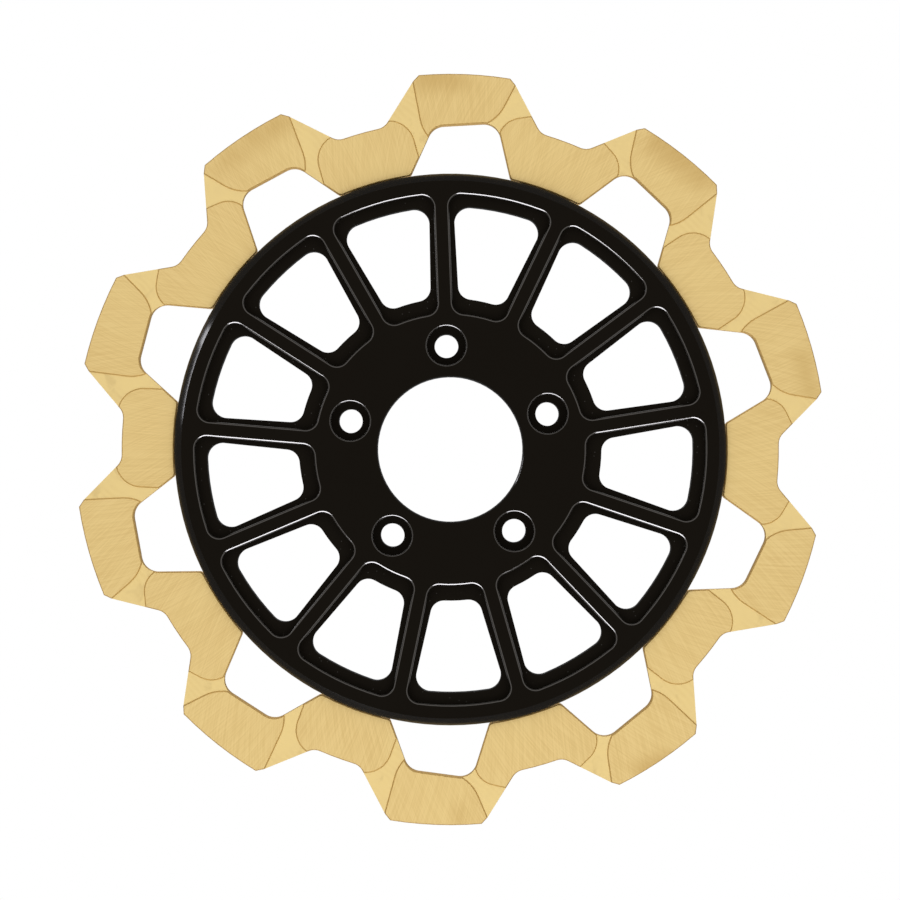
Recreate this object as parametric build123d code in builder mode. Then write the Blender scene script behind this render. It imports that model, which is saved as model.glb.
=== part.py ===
"""Two-piece motorcycle brake disc rotor.

The disc axis is Y. The outboard face looks towards -Y and +Z is up, with the origin on the
axis, in the plane of the hub's mounting face. Heights named *_h are measured from that plane
towards the outboard side. A black spoked carrier bolts to the wheel, and a gold brake ring
floats on ten drive bushes behind the carrier's rim.
"""
from build123d import *
from math import cos, radians, sin
import os

# ---------------------------------------------------------------- driving dimensions (mm, deg)
# brake ring
ring_outer_r = 150.0
ring_inner_r = 110.4
ring_thick = 5.0
ring_back_h = 2.0
ring_edge_chamfer = 0.4
foot_count = 10
first_foot_deg = 103.7

# valley over each foot, in degrees either side of the foot's centre line
valley_r = 131.2
valley_half_deg = 4.2
valley_fillet = 6.0
flank_top_r = 147.8
flank_top_deg = 10.05
crown_end_deg = 11.0
valley_reach = 5.0

# window under each crown, corners as (degrees past a wide foot's centre line, radius)
window_wide_side = [(7.45, 110.0), (12.81, 129.35)]
window_narrow_side = [(23.99, 131.95), (28.5, 110.0)]
window_fillet = 6.8
foot_corner_fillet = 2.0

# milled relief bands across the flanks, and the wide pad that two of them leave
band_depth = 0.5
band_wall_deg = 45
wide_pad_half = 19.4
wide_pad_corner_r = 10.1
wide_pad_corner_z = 122.9

# lugs that carry the drive bushes
lug_thick = 2.4
lug_nose_r = 6.35
lug_root_half = 11.8
lug_root_r = 111.6
drive_r = 104.2
bush_outer_r = 4.0
bush_clearance = 0.08
bush_bore_r = 2.6

# carrier
carrier_front_h = 12.0
carrier_back_h = 4.5
rim_r = 109.8
rim_chamfer_width = 3.0
rim_chamfer_depth = 2.5
rim_back_chamfer = 0.6
hub_boss_r = 50.0
bore_r = 29.0
bolt_pcd = 82.55
bolt_count = 5
bolt_hole_r = 4.75
counterbore_r = 7.8
counterbore_depth = 5.0
counterbore_round = 0.6
edge_break = 0.3
spoke_count = 13
spoke_width = 6.2
pocket_depth = 3.0
pocket_outer_r = 101.3
pocket_inner_r = 54.2
pocket_corner_r = 4.6
pocket_edge_round = 1.0
spoke_overlap = 10.0
window_outer_r = 96.9
window_inner_r = 60.2
web_half_outer = 4.7
web_outer_end = 105.0
web_half_inner = 5.8
web_inner_end = 50.0
web_corner_outer_r = 6.0
web_corner_inner_r = 5.4

# fasteners of one drive station
flat_washer_r = 6.0
flat_washer_thick = 1.0
flat_washer_round = 0.2
bush_back_h = 1.5
spring_washer_r = 6.0
spring_washer_clearance = 0.2
spring_washer_thick = 0.2
spring_washer_sag = 0.09
spring_strip_overlap = 0.5
screw_r = 2.45
screw_length = 10.0
screw_head_r = 4.75
screw_head_thick = 1.9
screw_head_round = 0.8
screw_tip_chamfer = 0.5
screw_socket_r = 1.75
screw_socket_depth = 1.2
tapped_hole_r = 2.5
tapped_hole_depth = 6.2

# heights that follow
ring_front_h = ring_back_h + ring_thick
flat_washer_back_h = bush_back_h - flat_washer_thick
screw_head_back_h = flat_washer_back_h - screw_head_thick

front_view = Plane.XZ
os.makedirs("parts", exist_ok=True)


def polar(angle, radius):
    """A sketch point from its angle in degrees and its radius."""
    return (radius * cos(radians(angle)), radius * sin(radians(angle)))


def near_radius(radius, tolerance=0.2):
    """A filter for vertices at one distance from the disc axis."""
    return lambda vertex: abs(Vector(vertex.X, vertex.Y, vertex.Z).length - radius) < tolerance


def circles(edges, radius, tolerance=0.1):
    """The circular edges of one radius."""
    return edges.filter_by(GeomType.CIRCLE).filter_by(lambda edge: abs(edge.radius - radius) < tolerance)


# ---------------------------------------------------------------- ring outlines
# Each outline has its foot's centre line along the sketch's +Y, and is patterned from there.
with BuildSketch() as valley:
    with BuildLine():
        half = [(valley_half_deg, valley_r), (flank_top_deg, flank_top_r)]
        half += [(crown_end_deg, ring_outer_r), (crown_end_deg, ring_outer_r + valley_reach)]
        side_a = [polar(90 + a, r) for a, r in half]
        side_b = [polar(90 - a, r) for a, r in reversed(half)]
        Polyline(*side_a, *side_b)
        RadiusArc(side_b[-1], side_a[0], -valley_r)
    make_face()
    fillet(valley.vertices().sort_by(Axis.Y)[:2], valley_fillet)

with BuildSketch() as window_pair:
    Polygon(*[polar(90 - a, r) for a, r in window_wide_side + window_narrow_side], align=None)
    fillet(window_pair.vertices().sort_by(Axis.Y)[-2:], window_fillet)
    mirror(about=Plane.YZ)

with BuildSketch() as wide_bands:
    with BuildLine():
        crown_side = Line((26.2, 148.8), (24.6, 130.1))
        crown_bend = TangentArc(crown_side @ 1, (25.7, 123.0), tangent=crown_side % 1)
        corner_centre = (wide_pad_half - wide_pad_corner_r, wide_pad_corner_z)
        corner = CenterArc(corner_centre, wide_pad_corner_r, 0, 75)
        Polyline(crown_bend @ 1, (27.0, 120.6), (wide_pad_half, 113.0), corner @ 0)
        Polyline(corner @ 1, (9.4, 133.5), (16.0, 143.0), crown_side @ 0)
    make_face()
    mirror(about=Plane.YZ)

with BuildSketch() as narrow_bands:
    with BuildLine():
        crown_side = Line((66.2, 134.9), (58.0, 126.2))
        crown_bend = TangentArc(crown_side @ 1, (49.2, 121.5), tangent=crown_side % 1)
        foot_side = Line((69.5, 118.5), (62.1, 119.5))
        foot_bend = TangentArc(foot_side @ 1, (53.4, 115.7), tangent=foot_side % 1)
        Polyline(crown_bend @ 1, (46.5, 121.2), (50.5, 114.5), foot_bend @ 1)
        Polyline(foot_side @ 0, (71.5, 128.0), crown_side @ 0)
    make_face()
    mirror(about=Plane.YZ)

with BuildSketch() as lug:
    with Locations((0, drive_r)):
        Circle(lug_nose_r)
    with Locations((0, lug_root_r)):
        Rectangle(2 * lug_root_half, 1.0)
    make_hull()

# ---------------------------------------------------------------- brake ring
with BuildPart() as brake_ring:
    with BuildSketch(front_view.offset(ring_back_h)) as ring_outline:
        Circle(ring_outer_r)
        Circle(ring_inner_r, mode=Mode.SUBTRACT)
        with PolarLocations(0, foot_count, start_angle=first_foot_deg - 90):
            add(valley.sketch, mode=Mode.SUBTRACT)
        with PolarLocations(0, foot_count // 2, start_angle=first_foot_deg - 90):
            add(window_pair.sketch, mode=Mode.SUBTRACT)
        fillet(ring_outline.vertices().filter_by(near_radius(ring_inner_r)), foot_corner_fillet)
    extrude(amount=ring_thick)
    ring_faces = brake_ring.faces().filter_by(Axis.Y)
    chamfer(ring_faces.edges(), ring_edge_chamfer)

    with BuildSketch(front_view.offset(ring_back_h)):
        with PolarLocations(0, foot_count, start_angle=first_foot_deg - 90):
            add(lug.sketch)
    extrude(amount=lug_thick)
    with BuildSketch(front_view.offset(ring_back_h)):
        with PolarLocations(drive_r, foot_count, start_angle=first_foot_deg):
            Circle(bush_outer_r + bush_clearance)
    extrude(amount=lug_thick, mode=Mode.SUBTRACT)

    with BuildSketch(front_view.offset(ring_front_h)) as band_outlines:
        with PolarLocations(0, foot_count // 2, start_angle=first_foot_deg - 90):
            add(wide_bands.sketch)
            add(narrow_bands.sketch)
    extrude(amount=-band_depth, taper=band_wall_deg, mode=Mode.SUBTRACT)
    with BuildSketch(front_view.offset(ring_back_h)):
        add(band_outlines.sketch)
    extrude(amount=band_depth, taper=band_wall_deg, mode=Mode.SUBTRACT)

brake_ring.part.label = "brake_ring"
export_step(brake_ring.part, "parts/brake_ring.step")

# ---------------------------------------------------------------- carrier
with BuildPart() as carrier:
    with BuildSketch(front_view.offset(carrier_back_h)):
        Circle(rim_r)
    extrude(amount=carrier_front_h - carrier_back_h)
    with BuildSketch(front_view):
        Circle(hub_boss_r)
    extrude(amount=carrier_back_h)

    with BuildSketch(front_view.offset(carrier_front_h)) as pockets:
        Circle(pocket_outer_r)
        Circle(pocket_inner_r, mode=Mode.SUBTRACT)
        with PolarLocations(pocket_outer_r / 2, spoke_count, start_angle=90):
            Rectangle(pocket_outer_r + spoke_overlap, spoke_width, mode=Mode.SUBTRACT)
        fillet(pockets.vertices(), pocket_corner_r)
    extrude(amount=-pocket_depth, mode=Mode.SUBTRACT)
    front = carrier.faces().filter_by(Axis.Y).sort_by(Axis.Y)[0]
    fillet(front.inner_wires().edges(), pocket_edge_round)

    with BuildSketch(front_view.offset(carrier_front_h)) as windows:
        Circle(window_outer_r)
        Circle(window_inner_r, mode=Mode.SUBTRACT)
        with PolarLocations(0, spoke_count, start_angle=90):
            web_inner = [(web_inner_end, -web_half_inner), (web_inner_end, web_half_inner)]
            web_outer = [(web_outer_end, web_half_outer), (web_outer_end, -web_half_outer)]
            Polygon(*web_inner, *web_outer, align=None, mode=Mode.SUBTRACT)
        fillet(windows.vertices().filter_by(near_radius(window_outer_r)), web_corner_outer_r)
        fillet(windows.vertices().filter_by(near_radius(window_inner_r)), web_corner_inner_r)
    extrude(amount=carrier_back_h - carrier_front_h, mode=Mode.SUBTRACT)

    with BuildSketch(front_view):
        Circle(bore_r)
        with PolarLocations(bolt_pcd / 2, bolt_count, start_angle=90):
            Circle(bolt_hole_r)
    extrude(amount=carrier_front_h, mode=Mode.SUBTRACT)
    with BuildSketch(front_view.offset(carrier_front_h)):
        with PolarLocations(bolt_pcd / 2, bolt_count, start_angle=90):
            Circle(counterbore_r)
    extrude(amount=-counterbore_depth, mode=Mode.SUBTRACT)
    with BuildSketch(front_view.offset(carrier_back_h)):
        with PolarLocations(drive_r, foot_count, start_angle=first_foot_deg):
            Circle(tapped_hole_r)
    extrude(amount=tapped_hole_depth, mode=Mode.SUBTRACT)

    rim_edges = circles(carrier.edges(), rim_r).sort_by(Axis.Y)
    chamfer(rim_edges[-1], rim_back_chamfer)
    front = carrier.faces().filter_by(Axis.Y).sort_by(Axis.Y)[0]
    chamfer(rim_edges[0], rim_chamfer_width, rim_chamfer_depth, reference=front)
    front = carrier.faces().filter_by(Axis.Y).sort_by(Axis.Y)[0]
    fillet(circles(front.edges(), counterbore_r), counterbore_round)
    chamfer(circles(carrier.edges(), bore_r), edge_break)

carrier.part.label = "carrier"
export_step(carrier.part, "parts/carrier.step")

# ---------------------------------------------------------------- drive stations
def station_plane(index, height):
    """A plane on one drive bush's axis, facing outboard, with its x axis along the disc's radius."""
    x, z = polar(first_foot_deg + index * 360 / foot_count, drive_r)
    return Plane(origin=(x, -height, z), x_dir=(x, 0, z), z_dir=(0, -1, 0))


def drive_bushing(index):
    """The hardened sleeve that carries one lug and takes the screw's clamping load."""
    with BuildPart() as bush:
        with BuildSketch(station_plane(index, bush_back_h)):
            Circle(bush_outer_r)
            Circle(bush_bore_r, mode=Mode.SUBTRACT)
        extrude(amount=carrier_back_h - bush_back_h)
        chamfer(circles(bush.edges(), bush_outer_r), edge_break)
    return bush.part


def spring_washer(index):
    """A thin steel washer bent about one axis, which presses the lug outboard."""
    seat = station_plane(index, bush_back_h)
    bend_view = Plane(origin=seat.origin, x_dir=seat.x_dir, z_dir=seat.x_dir.cross(seat.z_dir))
    reach = spring_washer_r + spring_strip_overlap
    top_sag = spring_washer_sag + spring_washer_thick
    with BuildPart() as washer:
        with BuildSketch(bend_view):
            with BuildLine():
                lower = ThreePointArc((-reach, spring_washer_sag), (0, 0), (reach, spring_washer_sag))
                upper = ThreePointArc((reach, top_sag), (0, spring_washer_thick), (-reach, top_sag))
                Line(lower @ 1, upper @ 0)
                Line(upper @ 1, lower @ 0)
            make_face()
        extrude(amount=reach, both=True)
        with BuildSketch(seat):
            Circle(spring_washer_r)
            Circle(bush_outer_r + spring_washer_clearance, mode=Mode.SUBTRACT)
        extrude(amount=2 * spring_washer_thick + spring_washer_sag, mode=Mode.INTERSECT)
    return washer.part


def flat_washer(index):
    """The hard washer under the screw head, which keeps the spring washer on the bush."""
    with BuildPart() as washer:
        with BuildSketch(station_plane(index, flat_washer_back_h)):
            Circle(flat_washer_r)
            Circle(bush_bore_r, mode=Mode.SUBTRACT)
        extrude(amount=flat_washer_thick)
        fillet(circles(washer.edges(), flat_washer_r), flat_washer_round)
    return washer.part


def drive_screw(index):
    """A low-head socket screw that enters from the inboard side."""
    with BuildPart() as screw:
        with BuildSketch(station_plane(index, screw_head_back_h)):
            Circle(screw_head_r)
        extrude(amount=screw_head_thick)
        fillet(screw.edges().sort_by(Axis.Y)[-1], screw_head_round)
        with BuildSketch(station_plane(index, flat_washer_back_h)):
            Circle(screw_r)
        extrude(amount=screw_length)
        chamfer(screw.edges().sort_by(Axis.Y)[0], screw_tip_chamfer)
        with BuildSketch(station_plane(index, screw_head_back_h)):
            RegularPolygon(screw_socket_r, 6)
        extrude(amount=screw_socket_depth, mode=Mode.SUBTRACT)
    return screw.part


station_pieces = {
    "drive_bushing": drive_bushing,
    "spring_washer": spring_washer,
    "flat_washer": flat_washer,
    "drive_screw": drive_screw,
}
for kind, make_piece in station_pieces.items():
    for index in range(foot_count):
        piece = make_piece(index)
        piece.label = f"{kind}_{index + 1:02d}"
        export_step(piece, f"parts/{piece.label}.step")
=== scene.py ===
"""Looks of a two-piece floating brake disc: a black spoked carrier and a gold brake ring."""

import math

import bpy
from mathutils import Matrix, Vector


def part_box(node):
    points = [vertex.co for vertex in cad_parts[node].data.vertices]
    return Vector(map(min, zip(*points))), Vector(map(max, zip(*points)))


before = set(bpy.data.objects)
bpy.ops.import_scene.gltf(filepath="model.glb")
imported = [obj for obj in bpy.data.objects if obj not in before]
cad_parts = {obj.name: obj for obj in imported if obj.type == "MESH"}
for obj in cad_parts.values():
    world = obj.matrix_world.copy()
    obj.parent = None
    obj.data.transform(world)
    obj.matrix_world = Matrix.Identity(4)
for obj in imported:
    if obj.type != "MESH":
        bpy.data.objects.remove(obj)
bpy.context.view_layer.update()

# ---------------------------------------------------------------- places worked out from the frame
RING_LOW, RING_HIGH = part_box("brake_ring")
CARRIER_LOW, CARRIER_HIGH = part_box("carrier")
RING_FRONT = RING_LOW.y
RING_BACK = RING_HIGH.y
RING_MIDDLE = (RING_FRONT + RING_BACK) / 2
RING_HALF = (RING_BACK - RING_FRONT) / 2
CARRIER_FRONT = CARRIER_LOW.y

MM = 0.001


# ---------------------------------------------------------------- node tree helper
class Graph:
    """Builds a node tree with short calls.

    An input is a number, a tuple or another node's output, and None leaves it as it is.
    """

    def __init__(self, tree):
        self.tree = tree
        tree.nodes.clear()

    def node(self, kind, inputs=(), **settings):
        made = self.tree.nodes.new(kind)
        for name, value in settings.items():
            setattr(made, name, value)
        pairs = inputs.items() if isinstance(inputs, dict) else enumerate(inputs)
        for key, value in pairs:
            self.put(made.inputs[key], value)
        return made

    def put(self, socket, value):
        if isinstance(value, bpy.types.NodeSocket):
            self.tree.links.new(value, socket)
        elif value is not None:
            socket.default_value = value

    def math(self, operation, a, b=None):
        return self.node("ShaderNodeMath", (a, b), operation=operation).outputs[0]

    def vector(self, operation, a, b=None):
        made = self.node("ShaderNodeVectorMath", (a, b), operation=operation)
        return made.outputs["Value" if operation == "LENGTH" else "Vector"]

    def split(self, vector):
        return self.node("ShaderNodeSeparateXYZ", (vector,)).outputs

    def join(self, x, y, z):
        return self.node("ShaderNodeCombineXYZ", (x, y, z)).outputs[0]

    def step(self, value, low, high, bottom=0.0, top=1.0):
        """A smooth step from bottom at low to top at high."""
        made = self.node(
            "ShaderNodeMapRange",
            {"Value": value, "From Min": low, "From Max": high, "To Min": bottom, "To Max": top},
            interpolation_type="SMOOTHSTEP",
        )
        return made.outputs["Result"]

    def noise(self, vector, scale, detail=2.0, roughness=0.5, distortion=0.0):
        """Noise with about scale blobs to one unit of the vector."""
        made = self.node(
            "ShaderNodeTexNoise",
            {
                "Vector": vector,
                "Scale": scale,
                "Detail": detail,
                "Roughness": roughness,
                "Distortion": distortion,
            },
        )
        return made.outputs["Fac"]

    def mix(self, factor, first, second):
        """Blends two colours."""
        made = self.node("ShaderNodeMix", data_type="RGBA")
        self.put(made.inputs[0], factor)
        self.put(made.inputs[6], first)
        self.put(made.inputs[7], second)
        return made.outputs[2]

    def lerp(self, factor, first, second):
        """Blends two numbers."""
        made = self.node("ShaderNodeMix", data_type="FLOAT")
        self.put(made.inputs[0], factor)
        self.put(made.inputs[2], first)
        self.put(made.inputs[3], second)
        return made.outputs[0]

    def bump(self, height, strength, distance, normal=None):
        made = self.node(
            "ShaderNodeBump",
            {"Strength": strength, "Distance": distance, "Height": height, "Normal": normal},
        )
        return made.outputs[0]


def rgb(red, green, blue):
    """A linear colour with full alpha."""
    return (red, green, blue, 1.0)


def new_material(name):
    material = bpy.data.materials.new(name)
    material.use_nodes = True
    graph = Graph(material.node_tree)
    shader = graph.node("ShaderNodeBsdfPrincipled")
    output = graph.node("ShaderNodeOutputMaterial")
    graph.put(output.inputs["Surface"], shader.outputs["BSDF"])
    return material, graph, shader


# ---------------------------------------------------------------- gold ring
MARK_CENTRE = (-0.019, 0.0, 0.023)
MARK_RADIUS = 0.130
MARK_BUMP = 0.04 * MM
PAD_EDGE = (0.15 * MM, 0.05 * MM)  # how far below the pads' faces the pad's look starts and is full
TARNISH_RADII = (0.137, 0.149)
PAD_GOLD = rgb(0.79, 0.61, 0.285)
PAD_GOLD_DARK = rgb(0.71, 0.532, 0.232)
PAD_BROWN = rgb(0.56, 0.37, 0.12)
BAND_GOLD = rgb(0.81, 0.645, 0.305)
SMUDGE = rgb(0.58, 0.43, 0.19)
# painted shade: the walls and the slopes beside the bands get darker gold in place of the shade they
# sit in
SHADED_WALL_GOLD = rgb(0.52, 0.32, 0.085)
SHADED_LINE_GOLD = rgb(0.50, 0.31, 0.09)
FACE_ROUGH = (0.68, 0.64)
WALL_ROUGH = 0.42
LINE_METALLIC = 0.3


def radial_marks(graph, place, lean, across, along):
    """Fine grinding marks that fan out from a point near the disc's centre, leaning as arcs do.

    place is the object coordinate, lean the lean from the radius in radians, across the distance
    between marks and along their length, both in metres.
    """
    flat = graph.vector("MULTIPLY", graph.vector("SUBTRACT", place, MARK_CENTRE), (1.0, 0.0, 1.0))
    radius = graph.vector("LENGTH", flat)
    outward = graph.vector("NORMALIZE", flat)
    past_middle = graph.math("SUBTRACT", radius, MARK_RADIUS)
    turn = graph.math("MULTIPLY", past_middle, math.tan(lean) / MARK_RADIUS)
    turned = graph.node(
        "ShaderNodeVectorRotate",
        {"Vector": outward, "Axis": (0.0, 1.0, 0.0), "Angle": turn},
        rotation_type="AXIS_ANGLE",
    ).outputs[0]
    spread = graph.node(
        "ShaderNodeVectorMath",
        {0: turned, "Scale": MARK_RADIUS / across},
        operation="SCALE",
    ).outputs[0]
    lift = graph.join(0.0, graph.math("DIVIDE", radius, along), 0.0)
    return graph.vector("ADD", spread, lift)


def pad_colour(graph, place, marks, cloud):
    """Ground gold with paler clouds, and brown tarnish in patches towards the crowns' tips."""
    near_tips = graph.step(graph.vector("LENGTH", place), *TARNISH_RADII)
    patches = graph.step(graph.noise(place, 24.0), 0.5, 0.65, top=0.5)
    pad = graph.mix(graph.step(marks, 0.36, 0.64), PAD_GOLD_DARK, PAD_GOLD)
    pad = graph.mix(graph.step(cloud, 0.3, 0.75, top=0.3), pad, BAND_GOLD)
    return graph.mix(graph.math("MULTIPLY", near_tips, patches), pad, PAD_BROWN)


def band_colour(graph, place, swirl, cloud):
    """Milled gold with faint swirls and ripples, and a few darker smudges."""
    ripple = graph.node(
        "ShaderNodeTexWave",
        {"Vector": place, "Scale": 190.0, "Distortion": 7.0, "Detail": 2.0, "Detail Scale": 0.35},
        bands_direction="DIAGONAL",
    ).outputs["Fac"]
    rippled = graph.math("MULTIPLY", ripple, graph.step(cloud, 0.42, 0.62, top=0.22))
    smudge = graph.noise(place, 130.0, 3.0, 0.55, distortion=0.6)
    band = graph.mix(graph.step(swirl, 0.35, 0.7, top=0.35), BAND_GOLD, PAD_GOLD)
    band = graph.mix(rippled, band, PAD_GOLD_DARK)
    return graph.mix(graph.step(smudge, 0.58, 0.74, top=0.32), band, SMUDGE)


def gold_material():
    """Ground pads, milled bands a step below them, and painted shade: darker gold on the slopes and
    the walls.
    """
    material, graph, shader = new_material("ring_gold")
    place = graph.node("ShaderNodeTexCoord").outputs["Object"]
    side = graph.node("ShaderNodeTexCoord").outputs["Normal"]
    depth = graph.split(place)[1]
    facing = graph.math("ABSOLUTE", graph.split(side)[1])
    flat_face = graph.step(facing, 0.86, 0.96)
    not_flat = graph.math("SUBTRACT", 1.0, flat_face)
    slope = graph.math("MULTIPLY", graph.step(facing, 0.35, 0.55), not_flat)
    off_middle = graph.math("ABSOLUTE", graph.math("SUBTRACT", depth, RING_MIDDLE))
    on_pad = graph.step(off_middle, RING_HALF - PAD_EDGE[0], RING_HALF - PAD_EDGE[1])

    marks_a = graph.noise(radial_marks(graph, place, 0.30, 0.45 * MM, 16 * MM), 1.0, 2.0, 0.6)
    marks_b = graph.noise(radial_marks(graph, place, -0.28, 0.5 * MM, 22 * MM), 1.0, 2.0, 0.6)
    marks = graph.math("MULTIPLY", graph.math("ADD", marks_a, marks_b), 0.5)
    deep = graph.noise(radial_marks(graph, place, 0.04, 1.5 * MM, 26 * MM), 1.0)
    cloud = graph.noise(place, 55.0)
    swirl = graph.noise(place, 190.0, 3.0, 0.6, distortion=1.6)

    pad = pad_colour(graph, place, marks, cloud)
    band = band_colour(graph, place, swirl, cloud)
    face = graph.mix(on_pad, band, pad)
    # painted shade: darker gold on the walls and on the band slopes
    walls = graph.mix(slope, SHADED_WALL_GOLD, SHADED_LINE_GOLD)
    graph.put(shader.inputs["Base Color"], graph.mix(flat_face, walls, face))
    graph.put(shader.inputs["Metallic"], graph.lerp(slope, 1.0, LINE_METALLIC))

    rough_pad = graph.step(marks, 0.3, 0.7, *FACE_ROUGH)
    rough_band = graph.step(swirl, 0.3, 0.7, *FACE_ROUGH)
    rough_face = graph.lerp(on_pad, rough_band, rough_pad)
    graph.put(shader.inputs["Roughness"], graph.lerp(flat_face, WALL_ROUGH, rough_face))

    height = graph.math("ADD", marks, graph.math("MULTIPLY", deep, 0.6))
    pad_height = graph.math("MULTIPLY", height, graph.math("MULTIPLY", on_pad, flat_face))
    graph.put(shader.inputs["Normal"], graph.bump(pad_height, 0.22, MARK_BUMP))
    return material


# ---------------------------------------------------------------- black carrier
POCKET_DEPTH = 3.0 * MM
RIM_RADIUS = (CARRIER_HIGH.x - CARRIER_LOW.x) / 2
CHAMFER_WIDTH = 3.0 * MM
CHAMFER_INNER = RIM_RADIUS - CHAMFER_WIDTH
CHAMFER_CROWN = -18.0
WORN_WIDTH = 0.35 * MM
WORN_DROP = 0.04 * MM
PEEL_BUMP = 0.002 * MM
SPECK_SPACING = 3.4 * MM
MATT_BLACK = rgb(0.0097, 0.0078, 0.0057)
MATT_BLACK_PALE = rgb(0.0109, 0.0088, 0.0065)
GLOSS_BLACK = rgb(0.0050, 0.0038, 0.0026)
# the colour of small pale specks on the pocket floors
PALE_SPECK = rgb(0.062, 0.058, 0.053)
GLOSS_LEVEL = 0.5
GLOSS_ROUGH = (0.11, 0.14)
GLOSS_TINT = rgb(1.0, 0.93, 0.86)
GLOSS_IOR = 1.7


def pocket_specks(graph, place, facing_out):
    """A mask of fine pale specks, one in some cells of a grid, that lie only on the floors of the
    pockets.
    """
    x, y, z = graph.split(place)
    outboard = graph.step(facing_out, -0.97, -0.9, 1.0, 0.0)
    below = graph.step(y, CARRIER_FRONT + 0.9 * POCKET_DEPTH, CARRIER_FRONT + 0.95 * POCKET_DEPTH)
    past_floor = (CARRIER_FRONT + 1.05 * POCKET_DEPTH, CARRIER_FRONT + 1.1 * POCKET_DEPTH)
    above = graph.step(y, *past_floor, 1.0, 0.0)
    on_floor = graph.math("MULTIPLY", graph.math("MULTIPLY", outboard, below), above)
    cells = graph.node(
        "ShaderNodeTexVoronoi",
        {"Vector": graph.join(x, z, 0.0), "Scale": 1 / SPECK_SPACING},
        voronoi_dimensions="2D",
    ).outputs
    speck = graph.math("MULTIPLY", graph.step(cells["Distance"], 0.03, 0.07, 1.0, 0.0), on_floor)
    return graph.math("MULTIPLY", speck, graph.step(graph.split(cells["Color"])[0], 0.55, 0.9))


def chamfer_height(graph, place):
    """Bump height of the rim: rubbed down at the chamfer's inner line and crowned from there out."""
    x, y, z = graph.split(place)
    radius = graph.vector("LENGTH", graph.join(x, 0.0, z))
    past_inner = graph.math("MAXIMUM", graph.math("SUBTRACT", radius, CHAMFER_INNER), 0.0)
    crown = graph.math("MULTIPLY", graph.math("MULTIPLY", past_inner, past_inner), CHAMFER_CROWN)
    worn = graph.step(radius, CHAMFER_INNER - WORN_WIDTH, CHAMFER_INNER, 0.0, -WORN_DROP)
    return graph.math("ADD", crown, worn)


def black_material():
    """Black coating, matt on the flat faces and gloss on the rounds, the walls and the chamfer."""
    material, graph, shader = new_material("carrier_black")
    place = graph.node("ShaderNodeTexCoord").outputs["Object"]
    side = graph.node("ShaderNodeTexCoord").outputs["Normal"]
    facing_out = graph.split(side)[1]
    matt = graph.step(graph.math("ABSOLUTE", facing_out), 0.975, 0.995)
    peel = graph.noise(place, 900.0)
    haze = graph.noise(place, 40.0, 3.0, 0.6)

    flats = graph.mix(haze, MATT_BLACK, MATT_BLACK_PALE)
    colour = graph.mix(matt, GLOSS_BLACK, flats)
    # small pale specks, only on the pocket floors
    speck = pocket_specks(graph, place, facing_out)
    graph.put(shader.inputs["Base Color"], graph.mix(speck, colour, PALE_SPECK))
    graph.put(shader.inputs["Specular IOR Level"], graph.lerp(matt, GLOSS_LEVEL, 0.0))
    graph.put(shader.inputs["Roughness"], graph.step(haze, 0.3, 0.7, *GLOSS_ROUGH))
    shader.inputs["IOR"].default_value = GLOSS_IOR
    shader.inputs["Specular Tint"].default_value = GLOSS_TINT

    crowned = graph.bump(chamfer_height(graph, place), 1.0, 1.0)
    graph.put(shader.inputs["Normal"], graph.bump(peel, 0.2, PEEL_BUMP, crowned))
    return material


# ---------------------------------------------------------------- steel hardware
MARK_STRETCH = (1.0, 14.0, 1.0)
STEELS = {
    "bushing_steel": (rgb(0.52, 0.51, 0.49), rgb(0.36, 0.35, 0.33), 0.9 * MM, 0.28),
    "spring_steel": (rgb(0.30, 0.29, 0.30), rgb(0.16, 0.15, 0.17), 0.7 * MM, 0.34),
    "washer_steel": (rgb(0.62, 0.61, 0.58), rgb(0.45, 0.44, 0.42), 0.8 * MM, 0.30),
    "screw_steel": (rgb(0.09, 0.088, 0.085), rgb(0.045, 0.044, 0.043), 0.8 * MM, 0.38),
}


def steel_material(name, light, dark, grain, rough):
    """Turned or drawn steel: light and dark are its colours, grain the spacing of its marks."""
    material, graph, shader = new_material(name)
    place = graph.node("ShaderNodeTexCoord").outputs["Object"]
    marks = graph.noise(graph.vector("MULTIPLY", place, MARK_STRETCH), 1 / grain, 3.0, 0.6)
    stain = graph.noise(place, 160.0)
    colour = graph.mix(graph.step(marks, 0.3, 0.7), dark, light)
    stained = graph.step(stain, 0.5, 0.8, top=0.4)
    graph.put(shader.inputs["Base Color"], graph.mix(stained, colour, dark))
    shader.inputs["Metallic"].default_value = 1.0
    graph.put(shader.inputs["Roughness"], graph.step(marks, 0.3, 0.7, rough + 0.08, rough))
    graph.put(shader.inputs["Normal"], graph.bump(marks, 0.4, 0.02 * MM))
    return material


MATERIALS = {"carrier_black": black_material(), "ring_gold": gold_material()}
for name, values in STEELS.items():
    MATERIALS[name] = steel_material(name, *values)
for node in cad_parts.values():
    for slot in node.material_slots:
        slot.material = MATERIALS[slot.material.name.split(".")[0]]


# ---------------------------------------------------------------- floor
FLOOR_DROP = 0.85
FLOOR_RADIUS = 2.2
FLOOR_EDGE = 0.05
FLOOR_TURNS = 96
EDGE_STEPS = 6


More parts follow.
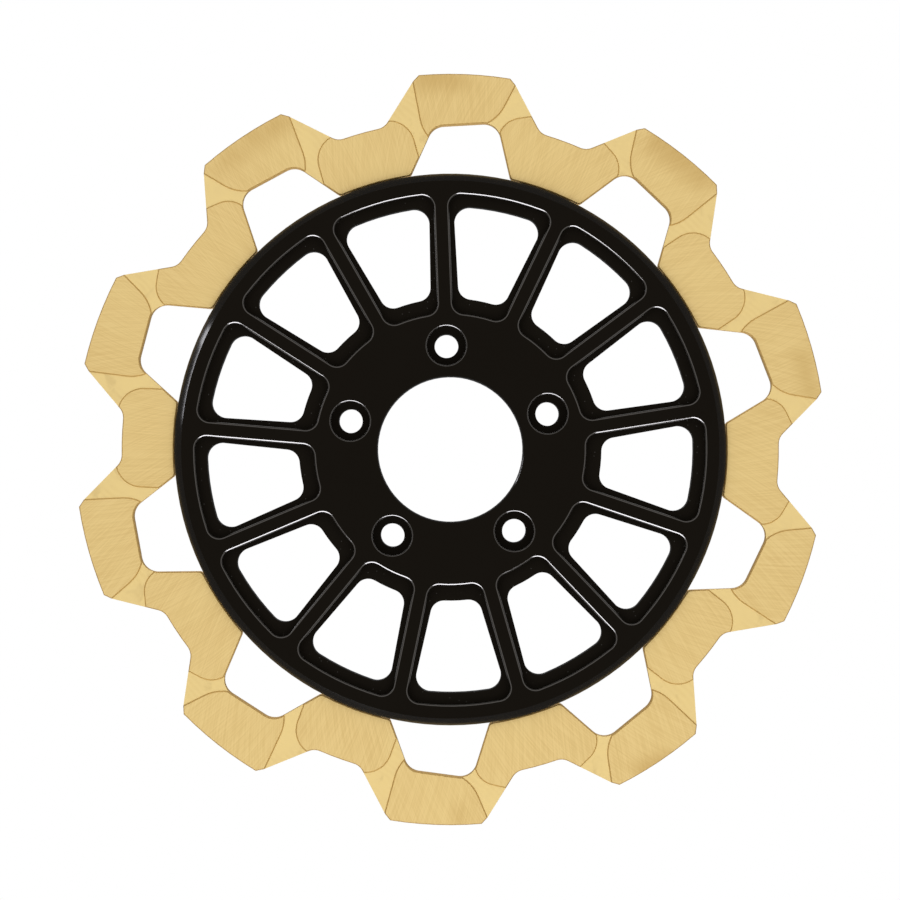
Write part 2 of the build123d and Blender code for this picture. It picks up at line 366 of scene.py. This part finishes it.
def floor_mesh():
    """A round sheet with a rolled edge: a centre point, then rings of points from the middle out."""
    level = RING_LOW.z - FLOOR_DROP
    rings = [(FLOOR_RADIUS * 0.5, 0.0), (FLOOR_RADIUS - FLOOR_EDGE, 0.0)]
    for step in range(1, EDGE_STEPS + 1):
        angle = step / EDGE_STEPS * math.pi / 2
        radius = FLOOR_RADIUS - FLOOR_EDGE + FLOOR_EDGE * math.sin(angle)
        rings.append((radius, -FLOOR_EDGE * (1 - math.cos(angle))))
    points = [Vector((0, 0, level))]
    faces = []
    for index, (radius, drop) in enumerate(rings):
        for turn in range(FLOOR_TURNS):
            angle = turn / FLOOR_TURNS * math.tau
            points.append(Vector((radius * math.cos(angle), radius * math.sin(angle), level + drop)))
        for turn in range(FLOOR_TURNS):
            here = 1 + index * FLOOR_TURNS + turn
            beside = 1 + index * FLOOR_TURNS + (turn + 1) % FLOOR_TURNS
            if index == 0:
                faces.append((0, here, beside))
            else:
                faces.append((here - FLOOR_TURNS, here, beside, beside - FLOOR_TURNS))
    mesh = bpy.data.meshes.new("floor")
    mesh.from_pydata(points, [], faces)
    mesh.shade_smooth()
    return mesh


def floor():
    """A pale floor well below the disc. It casts no shadow and adds no reflection or bounced light."""
    mesh = floor_mesh()
    made = bpy.data.objects.new("floor", mesh)
    bpy.context.scene.collection.objects.link(made)
    material, graph, shader = new_material("floor_white")
    place = graph.node("ShaderNodeTexCoord").outputs["Object"]
    weave = graph.noise(place, 60.0, 3.0)
    colour = graph.mix(weave, rgb(0.88, 0.88, 0.87), rgb(0.92, 0.92, 0.91))
    graph.put(shader.inputs["Base Color"], colour)
    shader.inputs["Roughness"].default_value = 0.9
    shader.inputs["Specular IOR Level"].default_value = 0.1
    mesh.materials.append(material)
    made.visible_glossy = False
    made.visible_diffuse = False
    made.visible_shadow = False
    return made


# ---------------------------------------------------------------- studio
FACE_LIGHT = 0.068
SIDE_LIGHT = 1.15
RIM_LIGHT = 0.11
FACE_TO_SIDE = (math.radians(22), math.radians(32))
SIDE_TO_RIM = (math.radians(66), math.radians(77))
FLOOR_WASH = 1.6
COOL = (0.84, 0.89, 1.0)
WHITE = (1.0, 1.0, 1.0)
# name, heading, off_axis, reach, size and power, as softbox takes them
CARRIER_LIGHTS = (
    ("key_below", 258, 51, 1.2, (1.1, 0.9), 62.0),
    ("rim_left", 153, 87, 0.6, (0.05, 0.04), 0.045),
    ("rim_streak", 163, 86, 0.6, (0.015, 0.18), 0.065),
)
# the start of the name, heading and power, for each side of the disc
RING_LIGHTS = (("ring_top_", 90, 15.0), ("ring_low_", 270, 22.0))
RING_LIGHT_SIDES = (("front", 49), ("back", 131))
RING_LIGHT_REACH = 2.4
RING_LIGHT_SIZE = (2.4, 1.8)


def studio_world():
    """A surround whose light depends on the angle off the disc axis, and that the camera sees white.

    It is dim straight in front of and behind the disc, bright at slanting angles and dim again
    level with the disc.
    """
    world = bpy.data.worlds.new("studio")
    world.use_nodes = True
    bpy.context.scene.world = world
    graph = Graph(world.node_tree)
    direction = graph.node("ShaderNodeTexCoord").outputs["Generated"]
    off_axis = graph.math("ARCCOSINE", graph.math("ABSOLUTE", graph.split(direction)[1]))
    level = graph.step(off_axis, *FACE_TO_SIDE, FACE_LIGHT, SIDE_LIGHT)
    level = graph.lerp(graph.step(off_axis, *SIDE_TO_RIM), level, RIM_LIGHT)
    from_camera = graph.node("ShaderNodeLightPath").outputs["Is Camera Ray"]
    strength = graph.lerp(from_camera, level, 1.0)
    back = graph.node("ShaderNodeBackground", {"Color": rgb(1.0, 1.0, 1.0), "Strength": strength})
    output = graph.node("ShaderNodeOutputWorld")
    graph.put(output.inputs["Surface"], back.outputs[0])


def softbox(name, heading, off_axis, reach, size, power, receivers, tint, gloss_only=False):
    """An area light that points at the disc's centre, lights only receivers and isn't in view.

    heading is its direction around the disc axis, counted from +X to +Z, and off_axis its angle
    from the axis on the outboard side, both in degrees. With gloss_only it shows in reflections
    and adds nothing else.
    """
    light = bpy.data.lights.new(name, "AREA")
    light.shape = "RECTANGLE"
    light.size, light.size_y = size
    light.energy = power
    light.color = tint
    made = bpy.data.objects.new(name, light)
    out = math.sin(math.radians(off_axis))
    away = Vector(
        (
            out * math.cos(math.radians(heading)),
            -math.cos(math.radians(off_axis)),
            out * math.sin(math.radians(heading)),
        )
    )
    made.location = away * reach
    made.rotation_euler = away.to_track_quat("Z", "Y").to_euler()
    made.visible_camera = False
    made.visible_diffuse = not gloss_only
    bpy.context.scene.collection.objects.link(made)
    made.light_linking.receiver_collection = receivers


def floor_wash(receivers):
    """Wide light from straight above that keeps the floor pale and lights nothing else."""
    light = bpy.data.lights.new("floor_wash", "SUN")
    light.energy = FLOOR_WASH
    light.angle = math.radians(60)
    made = bpy.data.objects.new("floor_wash", light)
    bpy.context.scene.collection.objects.link(made)
    made.light_linking.receiver_collection = receivers


def receivers_of(name, thing):
    """A collection with one object, for the lights that light only that object."""
    made = bpy.data.collections.new(name)
    made.objects.link(thing)
    return made


# ---------------------------------------------------------------- camera
CAMERA_REACH = 0.865
CAMERA_ROLL = math.radians(2.1)
CAMERA_LENS = 86.7
AIM_RIGHT = -0.0001
AIM_DOWN = 0.0002


def photo_camera():
    """Straight on to the outboard face, rolled so that the disc looks turned anticlockwise."""
    camera = bpy.data.cameras.new("camera")
    camera.lens = CAMERA_LENS
    camera.sensor_width = 36.0
    camera.clip_start = 0.05
    camera.clip_end = 20.0
    made = bpy.data.objects.new("camera", camera)
    made.location = (AIM_RIGHT, RING_FRONT - CAMERA_REACH, -AIM_DOWN)
    made.rotation_euler = (math.radians(90), CAMERA_ROLL, 0.0)
    bpy.context.scene.collection.objects.link(made)
    bpy.context.scene.camera = made


studio_world()
floor_wash(receivers_of("floor_only", floor()))
carrier_only = receivers_of("carrier_only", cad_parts["carrier"])
ring_only = receivers_of("ring_only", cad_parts["brake_ring"])
for lamp in CARRIER_LIGHTS:
    softbox(*lamp, carrier_only, COOL, gloss_only=True)
for side, off_axis in RING_LIGHT_SIDES:
    for start, heading, power in RING_LIGHTS:
        placing = (heading, off_axis, RING_LIGHT_REACH, RING_LIGHT_SIZE)
        softbox(start + side, *placing, power, ring_only, WHITE)
photo_camera()
bpy.context.scene.view_settings.view_transform = "Standard"
